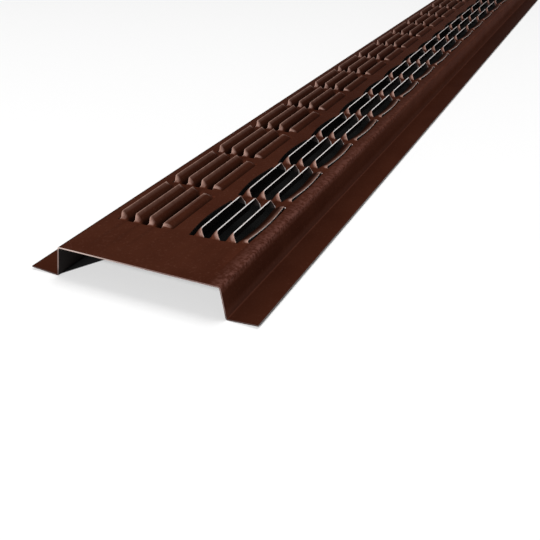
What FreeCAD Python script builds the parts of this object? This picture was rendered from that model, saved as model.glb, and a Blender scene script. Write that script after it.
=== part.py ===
"""Continuous soffit vent: one roll-formed strip of painted sheet with two rows of lanced louvers.

Frame: X across the strip, Y along it, Z up out of the louvered face.
Origin: middle of the strip, on the surface that the two flange bends rest on.
"""

import math
import os

import FreeCAD
import Part
from FreeCAD import Vector

# Strip section, in millimetres and degrees
length = 609.6
sheet = 0.4
face_width = 50.8
depth = 9.6
flange_width = 9.2
wall_lean_deg = 10.0
flange_lift_deg = 4.0
bend_radius = 0.3

# Two rows of blades across the face, each with a narrower and lower blade at its right-hand side
full_blades = 3
low_blade_share = 0.8
left_margin = 4.6
centre_web = 5.8
right_margin = 3.2

# Blade form: lanced along both sides and twisted, with the outer edge up and the inner edge down
twist_deg = 62.0
low_twist_deg = 28.0
middle_rise = 0.43
low_middle_rise = -0.05
blade_crown = 0.5

# The low blade of the right-hand row bows towards the wall along its length
low_blade_bow = 0.6
bow_stations = (0, 0.25, 0.5, 0.75, 1)

# Blade ends: a steep ramp with a shoulder runs down into the flat sheet
ramp = 1.4
shoulder_along = 0.36
shoulder_up = 0.65

# Groups of blades along the strip
blade_length = 26.5
group_gap = 4.0
end_margin = 21.8

near_end = -length / 2
face_mid = depth - sheet / 2
row_width = (face_width - left_margin - centre_web - right_margin) / 2
blade_width = row_width / (full_blades + low_blade_share)
left_row_x = -face_width / 2 + left_margin
right_row_x = left_row_x + row_width + centre_web
group_pitch = blade_length + group_gap
group_count = 1 + int((length - 2 * end_margin - blade_length) // group_pitch)


def rounded_path(points, radius):
    """Edges of a path through the points, with an arc of the radius at each inner corner."""
    edges = []
    start = points[0]
    for before, corner, after in zip(points, points[1:], points[2:]):
        to_before = (before - corner).normalize()
        to_after = (after - corner).normalize()
        half = to_before.getAngle(to_after) / 2
        enter = corner + to_before * (radius / math.tan(half))
        leave = corner + to_after * (radius / math.tan(half))
        inwards = (to_before + to_after).normalize()
        middle = corner + inwards * (radius / math.sin(half) - radius)
        edges.append(Part.LineSegment(start, enter).toShape())
        edges.append(Part.Arc(enter, middle, leave).toShape())
        start = leave
    edges.append(Part.LineSegment(start, points[-1]).toShape())
    return edges


def channel():
    """The folded strip before lancing: face, two leaning walls and two flanges."""
    lean = math.radians(wall_lean_deg)
    lift = math.radians(flange_lift_deg)
    foot_z = sheet / 2
    edge_x = face_width / 2
    foot_x = edge_x + (face_mid - foot_z) * math.tan(lean)
    tip_x = foot_x + flange_width * math.cos(lift)
    tip_z = foot_z + flange_width * math.sin(lift)
    right = [
        Vector(edge_x, near_end, face_mid),
        Vector(foot_x, near_end, foot_z),
        Vector(tip_x, near_end, tip_z),
    ]
    left = [Vector(-p.x, p.y, p.z) for p in reversed(right)]
    middle = Part.Wire(rounded_path(left + right, bend_radius + sheet / 2))
    upper = middle.makeOffset2D(sheet / 2, openResult=True)
    section = upper.makeOffset2D(-sheet, fill=True, openResult=True)
    return section.extrude(Vector(0, length, 0))


def flat_face(*corners):
    return Part.Face(Part.makePolygon([*corners, corners[0]]))


def sheet_section(heel, lip, crown):
    """Corners of a blade's section: heel, crown and lip of the low skin, then back along the high skin."""
    along = (lip - heel).normalize()
    up = Vector(-along.z, 0, along.x) * math.copysign(1, along.x)
    line = [heel, (heel + lip) / 2 + up * crown, lip]
    half = up * (sheet / 2)
    return [p - half for p in line] + [p + half for p in reversed(line)]


def moved(section, y):
    return [p + Vector(0, y, 0) for p in section]


def straight_run(near, far):
    """Flat panels between two equal sections."""
    return [flat_face(near[i - 1], near[i], far[i], far[i - 1]) for i in range(len(near))]


def folded_ramp(flatter, steeper):
    """Gussets between two sections, each skin folded from the flatter heel to the steeper lip."""
    faces = []
    count = len(flatter)
    for i in range(count):
        j = (i + 1) % count
        a, b, c, d = flatter[i], flatter[j], steeper[j], steeper[i]
        if i < count // 2:
            faces += [flat_face(a, b, c), flat_face(a, c, d)]
        else:
            faces += [flat_face(a, b, d), flat_face(b, c, d)]
    return faces


def blade(y, heel_x, lip_x, twist, rise, bow):
    """One blade: flat at both ends, where it runs into the face, and twisted and bowed between its ramps."""
    half_width = abs(lip_x - heel_x) / 2
    outwards = math.copysign(1, lip_x - heel_x)
    middle = Vector((heel_x + lip_x) / 2 - outwards * bow, 0, face_mid + rise)
    arm = Vector(outwards * half_width * math.cos(twist), 0, half_width * math.sin(twist))
    flat = sheet_section(Vector(heel_x, 0, face_mid), Vector(lip_x, 0, face_mid), 0)
    formed = sheet_section(middle - arm, middle + arm, blade_crown)
    shoulder = [a + (b - a) * shoulder_up for a, b in zip(flat, formed)]

    faces = []
    for end_y, inwards in ((y, 1), (y + blade_length, -1)):
        edge = moved(flat, end_y)
        bent = moved(shoulder, end_y + inwards * ramp * shoulder_along)
        top = moved(formed, end_y + inwards * ramp)
        faces.append(flat_face(*edge))
        faces += folded_ramp(edge, bent)
        faces += folded_ramp(bent, top)
    run = []
    for step in bow_stations if bow else (0, 1):
        outwards_by = outwards * bow * 4 * step * (1 - step)
        along_by = y + ramp + step * (blade_length - 2 * ramp)
        run.append([p + Vector(outwards_by, along_by, 0) for p in formed])
    for near, far in zip(run, run[1:]):
        faces += straight_run(near, far)
    return Part.Solid(Part.Shell(faces))


def louver_row(y, row_x, lips_right):
    """The blades of one row of a group, from left to right, with lips on their right or left edges."""
    low_bow = low_blade_bow if lips_right else 0
    forms = [(blade_width, twist_deg, middle_rise, 0)] * full_blades
    forms.append((blade_width * low_blade_share, low_twist_deg, low_middle_rise, low_bow))
    row = []
    left_x = row_x
    for width, twist, rise, bow in forms:
        edges = (left_x, left_x + width)
        heel_x, lip_x = edges if lips_right else reversed(edges)
        row.append(blade(y, heel_x, lip_x, math.radians(twist), rise, bow))
        left_x += width
    return row


def window(y, row_x):
    """The area of the face that one row's blades are lanced from."""
    return Part.makeBox(row_width, blade_length, 2 * sheet, Vector(row_x, y, face_mid - sheet))


windows = []
blades = []
for group in range(group_count):
    group_y = near_end + end_margin + group * group_pitch
    for row_x, lips_right in ((left_row_x, False), (right_row_x, True)):
        windows.append(window(group_y, row_x))
        blades += louver_row(group_y, row_x, lips_right)

strip = channel().cut(Part.makeCompound(windows)).multiFuse(blades).Solids[0]
strip.translate(Vector(0, 0, -strip.BoundBox.ZMin))

os.makedirs("parts", exist_ok=True)
strip.exportStep("parts/vent_strip.step")
print("valid:", strip.isValid(), "volume mm3:", round(strip.Volume))
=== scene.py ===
import math

import bmesh
import bpy
from mathutils import Matrix, Vector


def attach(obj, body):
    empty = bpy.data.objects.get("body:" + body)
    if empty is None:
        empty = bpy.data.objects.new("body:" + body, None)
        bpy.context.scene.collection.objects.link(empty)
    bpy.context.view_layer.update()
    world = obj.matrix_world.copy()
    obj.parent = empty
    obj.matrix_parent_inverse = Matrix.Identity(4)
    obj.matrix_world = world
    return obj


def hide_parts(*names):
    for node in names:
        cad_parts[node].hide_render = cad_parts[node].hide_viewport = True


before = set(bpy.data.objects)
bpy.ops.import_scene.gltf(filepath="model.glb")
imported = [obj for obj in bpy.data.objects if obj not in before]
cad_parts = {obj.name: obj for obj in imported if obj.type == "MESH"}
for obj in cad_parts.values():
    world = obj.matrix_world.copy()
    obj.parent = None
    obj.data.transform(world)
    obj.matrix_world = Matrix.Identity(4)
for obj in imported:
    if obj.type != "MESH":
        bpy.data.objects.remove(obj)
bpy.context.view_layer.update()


# The vent strip is one length of aluminium sheet that was painted in the coil, so edges cut later are bare.
# A press lances a group of eight blades at each stroke and twists them open, still held by both ends.
# Rolls then fold the two walls down and the two nailing flanges out.
mm = 0.001
hair = 0.01 * mm
strip_length = 609.6 * mm
sheet = 0.4 * mm
face_width = 50.8 * mm
depth = 9.6 * mm
flange_width = 9.2 * mm
wall_turn = math.radians(80)
flange_lift = math.radians(4)
flange_turn = wall_turn + flange_lift
bend_radius = 0.3 * mm
wall_setback = (bend_radius + sheet / 2) * math.tan(wall_turn / 2)
flange_setback = (bend_radius + sheet / 2) * math.tan(flange_turn / 2)
face_half = face_width / 2 - wall_setback
foot_rise = flange_setback * math.sin(flange_lift)
face_top = depth - foot_rise
end_margin = 21.8 * mm
blade_length = 26.5 * mm
group_pitch = 30.5 * mm
group_count = 18

# The flat sheet under one stroke of the press, from the near end of its blades to the next group's
blank = bmesh.new()
bmesh.ops.create_grid(blank, x_segments=1, y_segments=1, size=0.5)
bmesh.ops.scale(blank, vec=(2 * face_half, group_pitch, 1), verts=blank.verts)
bmesh.ops.translate(blank, vec=(0, group_pitch / 2, face_top), verts=blank.verts)


def score(point, across):
    parts = blank.verts[:] + blank.edges[:] + blank.faces[:]
    bmesh.ops.bisect_plane(blank, geom=parts, dist=hair, plane_co=point, plane_no=across)


# Blades across each row: three full ones and a narrower, lower one at the right.
# The lips of the left row face left, and those of the right row face right.
blade_width = 4.895 * mm
low_blade_width = 0.8 * blade_width
row_widths = (blade_width, blade_width, blade_width, low_blade_width)
blade_lines = (0.0, 0.06, 0.28, 0.5, 0.72, 0.94, 1.0)
left_row_x = -20.8 * mm
right_row_x = 3.6 * mm
left_row_end = left_row_x + sum(row_widths)
right_row_end = right_row_x + sum(row_widths)
blades = []
for row_x, lip_side in ((left_row_x, -1), (right_row_x, 1)):
    left_x = row_x
    for width in row_widths:
        for line in blade_lines:
            score((left_x + width * line, 0, 0), (1, 0, 0))
        blades.append((left_x, width, lip_side))
        left_x += width

# Stations along each blade: a short steep ramp at both ends and a straight run between them
ramp = 1.4 * mm
ramp_steps = (0.0, 0.04, 0.12, 0.36, 0.65, 1.0)
run_steps = (0.2, 0.35, 0.5, 0.65, 0.8, 0.91)
stations = [ramp * step for step in ramp_steps]
stations += [blade_length * step for step in run_steps]
stations += [blade_length - ramp * step for step in reversed(ramp_steps)]
for station in stations[1:]:
    score((0, station, 0), (0, 1, 0))

# Lance: the sheet opens along both sides of every blade
slits = [x for left_x, width, lip_side in blades for x in (left_x, left_x + width)]
slit_edges = []
for edge in blank.edges:
    near, far = (v.co for v in edge.verts)
    on_slit = any(abs(near.x - x) < hair and abs(far.x - x) < hair for x in slits)
    if on_slit and (near.y + far.y) / 2 < blade_length:
        slit_edges.append(edge)
bmesh.ops.split_edges(blank, edges=slit_edges)

# Marks kept with the sheet: how late a cut starts, and the places of crazing, wear, painted glints, painted
# highlights and painted shade
late = blank.verts.layers.float.new("late_start")
crazing_and_glint = blank.verts.layers.float.new("crazed_and_glint_paint")
lip_wear_and_highlight = blank.verts.layers.float.new("worn_and_lit_lip")
heel_shading = blank.verts.layers.float.new("shaded_heel")
edge_shading = blank.verts.layers.float.new("shaded_edge")

# The tool starts and stops its cuts late towards the right wall, by these lengths at the right row's slits,
# and starts the low blade of the left row late
right_slits = [right_row_x + n * blade_width for n in range(len(row_widths))] + [right_row_end]
right_starts = [mm * by for by in (0, 0.2, 0.5, 1.0, 2.4)]
right_stops = [mm * by for by in (0, 0, 0.4, 0.9, 1.6)]
low_left_start = 1.2 * mm


def late_by(x, y):
    if not right_row_x < x < right_row_end + hair:
        return 0
    number = min(int((x - right_row_x) / blade_width), len(row_widths) - 1)
    across = (x - right_slits[number]) / (right_slits[number + 1] - right_slits[number])
    start = right_starts[number] + across * (right_starts[number + 1] - right_starts[number])
    stop = right_stops[number] + across * (right_stops[number + 1] - right_stops[number])
    return start + (stop - start) * y / blade_length if y < group_pitch - hair else start


for vert in blank.verts:
    vert[late] = late_by(vert.co.x, vert.co.y)

# Wear and painted light, on a scale from -1 at a blade's heel to 1 at its lip. Paint crazes where it is
# drawn over the blade ends, with a painted glint at each far shoulder, and is rubbed off along the lips,
# with a painted highlight beside them; painted shade lies by the heels and on most cut edges.
lip_line = 0.99
beside_lip = 0.8
far_shoulder = blade_length - ramp
far_ramp = blade_length - 0.9 * ramp
craze_start = ramp_steps[1]
craze_rise = 0.1
craze_edge = {"full left": 0.1, "low left": -0.3, "full right": 0.4, "low right": 0.4}
craze_fade = 0.5
shoulder_glint = 0.8
beside_lip_highlight = 0.2
heel_edge_shade = 0.6
ramp_edge_shade = 0.3
low_right_lip_shade = 0.1
heel_shade_edge = {"full left": 0.35, "low left": -0.25, "low right": 0.85}
heel_shade_fade = {"full left": 0.8, "low left": 0.4, "low right": 0.5}
heel_shade_least = {"full left": 0.15, "low left": 0.15, "low right": 0}


def clamp(value, least, most):
    return min(max(value, least), most)


def mark_wear(vert, to_lip, station, share, kind):
    on_lip = to_lip > lip_line
    by_lip = to_lip > beside_lip
    drawn = min((share - craze_start) / craze_rise, 1) * (1 - share)
    vert[crazing_and_glint] = drawn * clamp((to_lip - craze_edge[kind]) / craze_fade, 0, 1)
    # a painted glint at the far shoulder of each lip
    if by_lip and abs(station - far_shoulder) < hair:
        vert[crazing_and_glint] = shoulder_glint
    # lips lightened: rubbed paint on the lip line, and a painted highlight beside it
    vert[lip_wear_and_highlight] = 1 if on_lip else beside_lip_highlight * by_lip
    # painted shade on the cut edges of the heels, the low blades and the far ramps
    if on_lip and kind == "low right":
        vert[edge_shading] = low_right_lip_shade
    elif kind.startswith("low") or to_lip < -lip_line:
        vert[edge_shading] = heel_edge_shade
    elif station > far_ramp:
        vert[edge_shading] = ramp_edge_shade
    # painted shade towards the heel
    if kind in heel_shade_edge:
        heel_shade_share = (heel_shade_edge[kind] - to_lip) / heel_shade_fade[kind]
        vert[heel_shading] = share * clamp(heel_shade_share, heel_shade_least[kind], 1)


# Form: each blade is crowned and twists about its middle, easing in and out over the ramps.
# The dropped heel falls away sooner than the lip rises, and the low blade at the right bows outwards.
# With more haste, an edge comes to its full form earlier on the ramp.
full_twist = math.radians(62)
low_twist = math.radians(28)
full_rise = 0.43 * mm
low_rise = -0.05 * mm
crown = 0.5 * mm
low_bow = 0.9 * mm
draw_haste = 4
closed_lip_haste = 26
rise_haste = 3.2
heel_haste = 4


def eased(share, haste):
    return 1 - (1 - share) ** haste


for left_x, width, lip_side in blades:
    low = width == low_blade_width
    kind = ("low " if low else "full ") + ("right" if lip_side > 0 else "left")
    twist = low_twist if low else full_twist
    rise = low_rise if low else full_rise
    outwards = low_bow if kind == "low right" else 0
    lip_haste = 0 if kind == "full right" else closed_lip_haste
    turn = Matrix.Rotation(-lip_side * twist, 3, "Y")
    middle_x = left_x + width / 2
    blade = set()
    for face in blank.faces:
        centre = face.calc_center_median()
        if abs(centre.x - middle_x) < width / 2 and centre.y < blade_length:
            blade.update(face.verts)
    for station in stations[1:-1]:
        row = [v for v in blade if abs(v.co.y - station) < hair]
        share = min(station, blade_length - station, ramp) / ramp
        flat = {v: v.co.copy() for v in row}
        to_lip = {v: lip_side * (v.co.x - middle_x) / (width / 2) for v in row}
        for vert in row:
            vert.co.z += crown * (1 - to_lip[vert] ** 2)
        bmesh.ops.rotate(blank, cent=(middle_x, station, face_top), matrix=turn, verts=row)
        bow = outwards * (math.sin(math.pi * station / blade_length) - 1)
        bmesh.ops.translate(blank, vec=(bow, 0, rise), verts=row)
        for vert in row:
            drawn_in = eased(share, draw_haste + lip_haste * max(0, to_lip[vert]))
            raised = eased(share, rise_haste + heel_haste * max(0, -to_lip[vert]))
            vert.co.x = flat[vert].x + drawn_in * (vert.co.x - flat[vert].x)
            vert.co.z = flat[vert].z + raised * (vert.co.z - flat[vert].z)
            mark_wear(vert, to_lip[vert], station, share, kind)
            if kind == "low left":
                vert[late] = low_left_start * (1 - station / blade_length)

# The edges left in the face: the ends of the left row's slits are shifted to the right, and the sheet is
# drawn back along the first and the last slit of the right row
end_shift = 0.45 * mm
first_slit_bow = 1.3 * mm
last_slit_draw = 0.4 * mm
last_slit_bow = 0.3 * mm
slit_end_shade = 0.8
for vert in blank.verts:
    if any(abs(vert.co.y - y) < hair for y in (0, blade_length, group_pitch)):
        # painted shade on the cut edges at the slit ends
        vert[edge_shading] = slit_end_shade
        if left_row_x - hair < vert.co.x < left_row_end:
            vert.co.x += end_shift * min((left_row_end - vert.co.x) / low_blade_width, 1)
        elif right_slits[-2] < vert.co.x < right_row_end + hair:
            from_middle = 2 * (vert.co.x - right_slits[-2]) / low_blade_width - 1
            vert.co.x -= (last_slit_draw + last_slit_bow) * max(0, from_middle)
    if abs(vert.co.z - face_top) < hair and vert.co.y < blade_length + hair:
        bulge = math.sin(math.pi * vert.co.y / blade_length)
        # painted shade on the face's edges along the outer slits
        if any(abs(vert.co.x - x) < hair for x in (left_row_x, right_row_x, right_row_end)):
            vert[edge_shading] = 1
        if abs(vert.co.x - right_row_x) < hair:
            vert.co.x -= first_slit_bow * bulge
        elif abs(vert.co.x - right_row_end) < hair:
            vert.co.x -= last_slit_draw + last_slit_bow * (1 - bulge)


# Repeat the stroke along the strip, join the strokes, and leave plain sheet at both ends
def corners(parts):
    return [part for part in parts if isinstance(part, bmesh.types.BMVert)]


def edges_at(axis, place):
    return [e for e in blank.edges if all(abs(getattr(v.co, axis) - place) < hair for v in e.verts)]


def run_out(edges, vector):
    added = bmesh.ops.extrude_edge_only(blank, edges=edges)["geom"]
    tip = corners(added)
    bmesh.ops.translate(blank, vec=vector, verts=tip)
    return [part for part in added if isinstance(part, bmesh.types.BMEdge) and set(part.verts) <= set(tip)]


stroke = blank.verts[:] + blank.edges[:] + blank.faces[:]
for number in range(1, group_count):
    copy = bmesh.ops.duplicate(blank, geom=stroke)["geom"]
    bmesh.ops.translate(blank, vec=(0, number * group_pitch, 0), verts=corners(copy))
seams = [n * group_pitch for n in range(1, group_count)]
at_seam = [v for v in blank.verts if any(abs(v.co.y - y) < hair for y in seams)]
bmesh.ops.remove_doubles(blank, verts=at_seam, dist=hair)
groups_length = group_count * group_pitch
far_margin = strip_length - end_margin - groups_length
run_out(edges_at("y", 0), (0, -end_margin, 0))
run_out(edges_at("y", groups_length), (0, far_margin, 0))
for vert in blank.verts:
    if -hair < vert.co.y < groups_length + hair:
        vert.co.y += vert[late]
bmesh.ops.translate(blank, vec=(0, end_margin - strip_length / 2, 0), verts=blank.verts)

# Fold: the walls go down and the flanges out from the long edges of the face
bend_steps = 5
wall_run = (depth - sheet) / math.sin(wall_turn) - wall_setback - flange_setback
flange_run = flange_width - flange_setback


def fold(edges, centre, axis, angle):
    bent = bmesh.ops.spin(blank, geom=edges, cent=centre, axis=axis, angle=angle, steps=bend_steps)
    return [part for part in bent["geom_last"] if isinstance(part, bmesh.types.BMEdge)]


for side in (-1, 1):
    axis = (0, side, 0)
    rim = edges_at("x", side * face_half)
    rim = fold(rim, (side * face_half, 0, face_top - bend_radius - sheet), axis, wall_turn)
    rim = run_out(rim, Vector((side * math.cos(wall_turn), 0, -math.sin(wall_turn))) * wall_run)
    from_wall = Vector((side * math.sin(wall_turn), 0, math.cos(wall_turn)))
    rim = fold(rim, rim[0].verts[0].co + from_wall * bend_radius, axis, -flange_turn)
    run_out(rim, Vector((side * math.cos(flange_lift), 0, math.sin(flange_lift))) * flange_run)

bmesh.ops.recalc_face_normals(blank, faces=blank.faces)
if sum(face.normal.z * face.calc_area() for face in blank.faces) < 0:
    bmesh.ops.reverse_faces(blank, faces=blank.faces)
for face in blank.faces:
    face.smooth = True
vent_sheet = bpy.data.objects.new("vent_sheet", bpy.data.meshes.new("vent_sheet"))
blank.to_mesh(vent_sheet.data)
blank.free()
bpy.context.scene.collection.objects.link(vent_sheet)


# Three finishes: brown paint outside, a nearly black back as painted shade for the dark inside, and bare
# aluminium at the cuts.
# Places on the strip are given in millimetres.
def new_finish(name):
    finish = bpy.data.materials.new(name)
    finish.use_nodes = True
    return finish, finish.node_tree.nodes, finish.node_tree.links


def grain(scale, detail):
    noise = nodes.new("ShaderNodeTexNoise")
    noise.inputs["Scale"].default_value = scale
    noise.inputs["Detail"].default_value = detail
    links.new(nodes.new("ShaderNodeTexCoord").outputs["Object"], noise.inputs["Vector"])
    return noise.outputs["Fac"]


def along(axis):
    place = nodes.new("ShaderNodeSeparateXYZ")
    links.new(nodes.new("ShaderNodeTexCoord").outputs["Object"], place.inputs["Vector"])
    return place.outputs[axis]


def of_sheet(name):
    layer = nodes.new("ShaderNodeAttribute")
    layer.attribute_name = name
    return layer.outputs["Fac"]


def spread(value, low, high, to_low, to_high):
    ranged = nodes.new("ShaderNodeMapRange")
    ranged.inputs["From Min"].default_value = low
    ranged.inputs["From Max"].default_value = high
    ranged.inputs["To Min"].default_value = to_low
    ranged.inputs["To Max"].default_value = to_high
    links.new(value, ranged.inputs["Value"])
    return ranged.outputs["Result"]


def reckon(operation, *values):
    step = nodes.new("ShaderNodeMath")
    step.operation = operation
    for socket, value in zip(step.inputs, values):
        links.new(value, socket)
    return step.outputs[0]


def times(first, second):
    return reckon("MULTIPLY", first, second)


def larger(first, second):
    return reckon("MAXIMUM", first, second)


def fade(axis, start, end, to_start, to_end):
    return spread(along(axis), start * mm, end * mm, to_start, to_end)


def beyond(axis, start, end, most):
    return spread(reckon("ABSOLUTE", along(axis)), start * mm, end * mm, 0, most)


def band(axis, start, full, still_full, end, most):
    return times(fade(axis, start, full, 0, most), fade(axis, still_full, end, 1, 0))


def blend(share, first, second):
    mix = nodes.new("ShaderNodeMix")
    mix.data_type = "RGBA"
    links.new(share, mix.inputs["Factor"])
    for socket, colour in ((mix.inputs["A"], first), (mix.inputs["B"], second)):
        if isinstance(colour, tuple):
            socket.default_value = (*colour, 1)
        else:
            links.new(colour, socket)
    return mix.outputs["Result"]


# Coil paint: two close browns in soft patches, with paler specks and a fine orange peel
deep_brown = (0.044, 0.0118, 0.0062)
warm_brown = (0.056, 0.0160, 0.0085)
pale_speck = (0.095, 0.036, 0.023)
brown_paint, nodes, links = new_finish("brown_paint")
paint = nodes["Principled BSDF"]
paint.inputs["Specular IOR Level"].default_value = 0.001
paint.inputs["Specular Tint"].default_value = (1, 0.42, 0.3, 1)
links.new(spread(grain(1100, 3), 0.3, 0.7, 0.4, 0.55), paint.inputs["Roughness"])
peel = nodes.new("ShaderNodeBump")
peel.inputs["Strength"].default_value = 0.12
peel.inputs["Distance"].default_value = 0.03 * mm
links.new(grain(1600, 2), peel.inputs["Height"])
links.new(peel.outputs["Normal"], paint.inputs["Normal"])
patches = spread(grain(70, 4), 0.35, 0.65, 0, 1)
specks = spread(grain(1400, 2), 0.58, 0.75, 0, 0.5)
colour = blend(specks, blend(patches, deep_brown, warm_brown), pale_speck)

# Painted shade: the face darker away from the near end, the blades darker towards their heels, and a dark
# line along the left-hand bend, which turns away from the light
far_face_shade = (0.016, 0.005, 0.003)
heel_shade_dark = (0.004, 0.002, 0.0015)
left_bend_shade = (0.012, 0.004, 0.003)
on_face = spread(beyond("X", 24.4, 25.0, 1), 0, 1, 1, 0)
colour = blend(times(on_face, fade("Y", -270, -140, 0, 0.36)), colour, far_face_shade)
# painted shade by the heels, broken by a grain
heel_shade_grain = spread(grain(300, 2), 0.3, 0.7, 0.7, 0.9)
colour = blend(times(of_sheet("shaded_heel"), heel_shade_grain), colour, heel_shade_dark)
# painted shade along the left-hand bend
left_bend = times(fade("X", -25.2, -24.8, 0.85, 0), fade("Z", 8.4, 8.9, 0, 1))
colour = blend(left_bend, colour, left_bend_shade)

# Walls and flanges: painted shade on both flanges, and on the right a wall with painted shade under the
# bend by the near end, painted light at its foot and at its head further along, and a flange with painted
# shade by the wall and further along
flange_shade_brown = (0.030, 0.0075, 0.0035)
wall_shade_brown = (0.017, 0.005, 0.003)
foot_light_brown = (0.085, 0.032, 0.022)
painted_light_brown = (0.14, 0.058, 0.045)
far_flange_shade_brown = (0.012, 0.004, 0.0027)
# painted shade on both flanges, beside the walls
colour = blend(beyond("X", 27.2, 27.6, 0.35), colour, flange_shade_brown)
# painted shade under the bend on the right wall, by the near end
wall_shade = times(band("X", 25.85, 26.0, 26.6, 26.9, 1), fade("Y", -230, -110, 0.35, 0))
colour = blend(wall_shade, colour, wall_shade_brown)
# painted light along the foot of the right wall
colour = blend(band("X", 26.7, 27.0, 27.2, 27.5, 0.5), colour, foot_light_brown)
# painted light on the head of the right wall, further along
lit_wall_head = times(band("X", 25.5, 25.8, 26.1, 26.5, 1), fade("Y", -180, -60, 0, 0.2))
colour = blend(lit_wall_head, colour, painted_light_brown)
# painted shade on the right flange, deepest by the wall and further along
far_flange_shade = larger(fade("X", 29, 36, 0.34, 0), fade("Y", -230, 40, 0, 0.72))
colour = blend(times(fade("X", 27.3, 27.7, 0, 1), far_flange_shade), colour, far_flange_shade_brown)

# Wear and painted light: a painted sheen along the right-hand bend, crazing over the blade ends with
# painted glints at their far shoulders, and lips rubbed nearly to the metal with a painted highlight beside
# them
crazed_and_glint_brown = (0.34, 0.22, 0.185)
rubbed_and_lit_brown = (0.37, 0.225, 0.18)
# a painted sheen along the right-hand bend, fading away from the near end
right_bend = times(band("X", 21.5, 24.8, 25.65, 25.95, 1), fade("Y", -250, -60, 0.6, 0.05))
bend_sheen = times(right_bend, spread(grain(1000, 3), 0.4, 0.6, 0.15, 1.1))
colour = blend(bend_sheen, colour, painted_light_brown)
weaker_along_strip = fade("Y", -120, 150, 1, 0.5)
# crazed paint over the blade ends, with painted glints at the far shoulders
craze_and_glint_mottle = spread(grain(900, 3), 0.35, 0.6, 0.35, 1)
colour = blend(times(times(of_sheet("crazed_and_glint_paint"), weaker_along_strip), craze_and_glint_mottle), colour, crazed_and_glint_brown)
# rubbed paint and a painted highlight along the lips
lip_mottle = spread(grain(500, 2), 0.3, 0.6, 0.6, 1)
colour = blend(times(times(of_sheet("worn_and_lit_lip"), weaker_along_strip), lip_mottle), colour, rubbed_and_lit_brown)
links.new(colour, paint.inputs["Base Color"])

# Back of the sheet: nearly black, painted shade for the dark inside of the channel
back_shade_black = (0.009, 0.007, 0.007)
back_shade_grey = (0.015, 0.012, 0.011)
shaded_back, nodes, links = new_finish("shaded_back")
coat = nodes["Principled BSDF"]
coat.inputs["Specular IOR Level"].default_value = 0.05
coat.inputs["Roughness"].default_value = 0.7
links.new(blend(grain(120, 4), back_shade_black, back_shade_grey), coat.inputs["Base Color"])

# Bare metal along the cuts: bright at the near end, duller along the strip, and dark where painted shade is
# laid on it
grey_metal = (0.72, 0.67, 0.645)
bright_metal = (0.80, 0.775, 0.76)
dull_metal = (0.22, 0.17, 0.16)
drawn_metal = (0.34, 0.22, 0.19)
shaded_metal = (0.03, 0.018, 0.015)
cut_edge, nodes, links = new_finish("cut_edge")
metal = nodes["Principled BSDF"]
metal.inputs["Metallic"].default_value = 0.25
links.new(spread(grain(800, 2), 0.3, 0.7, 0.35, 0.6), metal.inputs["Roughness"])
colour = blend(spread(grain(90, 3), 0.35, 0.65, 0, 1), grey_metal, bright_metal)
colour = blend(fade("Y", -120, 150, 0, 0.85), colour, dull_metal)
colour = blend(spread(of_sheet("crazed_and_glint_paint"), 0, 0.6, 0, 1), colour, drawn_metal)
colour = blend(of_sheet("shaded_edge"), colour, shaded_metal)

# The sheared ends of the strip and the slit edges of the flanges are duller than the lips
left_face_shear = (0.34, 0.26, 0.23)
right_face_shear = (0.12, 0.07, 0.06)
foot_shear = (0.04, 0.02, 0.016)
wall_shear = (0.13, 0.085, 0.075)
flange_slit = (0.07, 0.05, 0.045)
face_shear = blend(fade("X", -20, 5, 0, 1), left_face_shear, right_face_shear)
side_shear = blend(fade("Z", 1.5, 3, 0, 1), foot_shear, wall_shear)
sheared = blend(fade("Z", 8.6, 9.1, 0, 1), side_shear, face_shear)
colour = blend(beyond("Y", 304.6, 304.7, 1), colour, sheared)
colour = blend(beyond("X", 35.9, 36.0, 1), colour, flange_slit)
links.new(colour, metal.inputs["Base Color"])
for finish in (brown_paint, shaded_back, cut_edge):
    vent_sheet.data.materials.append(finish)

# Thickness: the sheet lies below its painted skin, and the punch has drawn the lips thin
lip_sheet_left = 0.7
crease = math.radians(38)
lip_thinning = vent_sheet.vertex_groups.new(name="sheet_left")
for number, lip in enumerate(vent_sheet.data.attributes["worn_and_lit_lip"].data):
    lip_thinning.add([number], lip_sheet_left if lip.value == 1 else 1, "REPLACE")
thickness = vent_sheet.modifiers.new("thickness", "SOLIDIFY")
thickness.vertex_group = lip_thinning.name
thickness.thickness = sheet
thickness.offset = -1
thickness.use_even_offset = True
thickness.material_offset = 1
thickness.material_offset_rim = 2
solid_sheet = vent_sheet.evaluated_get(bpy.context.evaluated_depsgraph_get())
vent_sheet.data = bpy.data.meshes.new_from_object(solid_sheet)
vent_sheet.modifiers.clear()
vent_sheet.data.set_sharp_from_angle(angle=crease)
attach(vent_sheet, "root")
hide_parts("vent_strip")


# The studio floor is a wide sheet of white board, laid flat, with a black patch of painted shade under the
# strip.
# The louvers look down on the black, so that their openings are dark.
# The patch stops on a slant inside the near mouth, and just short of the far one.
floor_half = 1.6
white_card = (0.97, 0.97, 0.97)
painted_shade_black = (0.012, 0.012, 0.012)
mouth_slant = -1.87
slant_start = -253.6 * mm
slant_end = -252.6 * mm
floor_plan = bmesh.new()
bmesh.ops.create_grid(floor_plan, x_segments=1, y_segments=1, size=floor_half)
floor = bpy.data.objects.new("studio_floor", bpy.data.meshes.new("studio_floor"))
floor_plan.to_mesh(floor.data)
floor_plan.free()
bpy.context.scene.collection.objects.link(floor)
white_board, nodes, links = new_finish("white_board")
board = nodes["Principled BSDF"]
board.inputs["Roughness"].default_value = 0.9
board.inputs["Specular IOR Level"].default_value = 0
slant = nodes.new("ShaderNodeMath")
slant.operation = "MULTIPLY_ADD"
slant.inputs[1].default_value = mouth_slant
links.new(along("X"), slant.inputs[0])
links.new(along("Y"), slant.inputs[2])
left_open = spread(slant.outputs[0], slant_start, slant_end, 1, 0)
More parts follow.
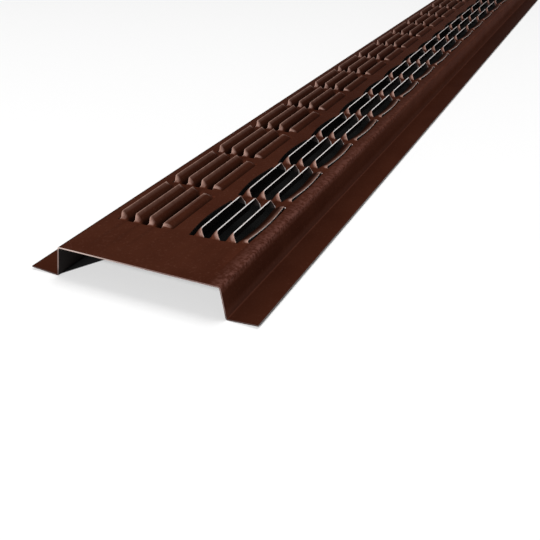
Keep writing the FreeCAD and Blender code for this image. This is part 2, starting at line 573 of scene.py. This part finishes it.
near_mouth = times(left_open, beyond("Y", 284, 292, 1))
far_mouth = fade("Y", 292, 300, 0, 1)
beside_strip = beyond("X", 27.3, 27.8, 1)
open_floor = larger(beside_strip, larger(near_mouth, far_mouth))
links.new(blend(open_floor, painted_shade_black, white_card), board.inputs["Base Color"])
floor.data.materials.append(white_board)


# The studio light is soft and plain: an even dim surround, which looks white where it is seen or mirrored,
# a broad lamp in front and a little to the right, and a wider, weaker one overhead.
dim_surround = (0.1, 0.1, 0.1)
white_surround = (1, 1, 1)
surround = bpy.data.worlds.new("studio_surround")
bpy.context.scene.world = surround
surround.use_nodes = True
nodes, links = surround.node_tree.nodes, surround.node_tree.links
rays = nodes.new("ShaderNodeLightPath").outputs
seen = larger(larger(rays["Is Camera Ray"], rays["Is Glossy Ray"]), rays["Is Transmission Ray"])
links.new(blend(seen, dim_surround, white_surround), nodes["Background"].inputs["Color"])
lamp_target = Vector((0, -0.2, 0))
lamps = (
    ("front_lamp", (0.35, -4.2, 1.9), 2.0, 312),
    ("overhead_lamp", (0.5, 1.0, 4.0), 2.6, 62),
)
for name, spot, size, power in lamps:
    lamp = bpy.data.objects.new(name, bpy.data.lights.new(name, "AREA"))
    lamp.data.size = size
    lamp.data.energy = power
    lamp.location = spot
    aim = lamp_target - lamp.location
    lamp.rotation_euler = aim.to_track_quat("-Z", "Y").to_euler()
    bpy.context.scene.collection.objects.link(lamp)


# The camera stands close to the near end, to the right of the strip and above it.
# It looks down along the strip, turned to the left, and the far end runs out of its frame.
camera = bpy.data.objects.new("camera", bpy.data.cameras.new("camera"))
camera.data.sensor_width = 36
camera.data.lens = 49.465
camera.data.clip_start = 0.005
heading = -0.4377
tilt = 0.5201
level = math.cos(tilt)
sight = Vector((math.sin(heading) * level, math.cos(heading) * level, -math.sin(tilt)))
camera.location = (0.104658, -0.444212, 0.106074)
camera.rotation_euler = sight.to_track_quat("-Z", "Y").to_euler()
bpy.context.scene.collection.objects.link(camera)
bpy.context.scene.camera = camera
bpy.context.scene.view_settings.view_transform = "Standard"
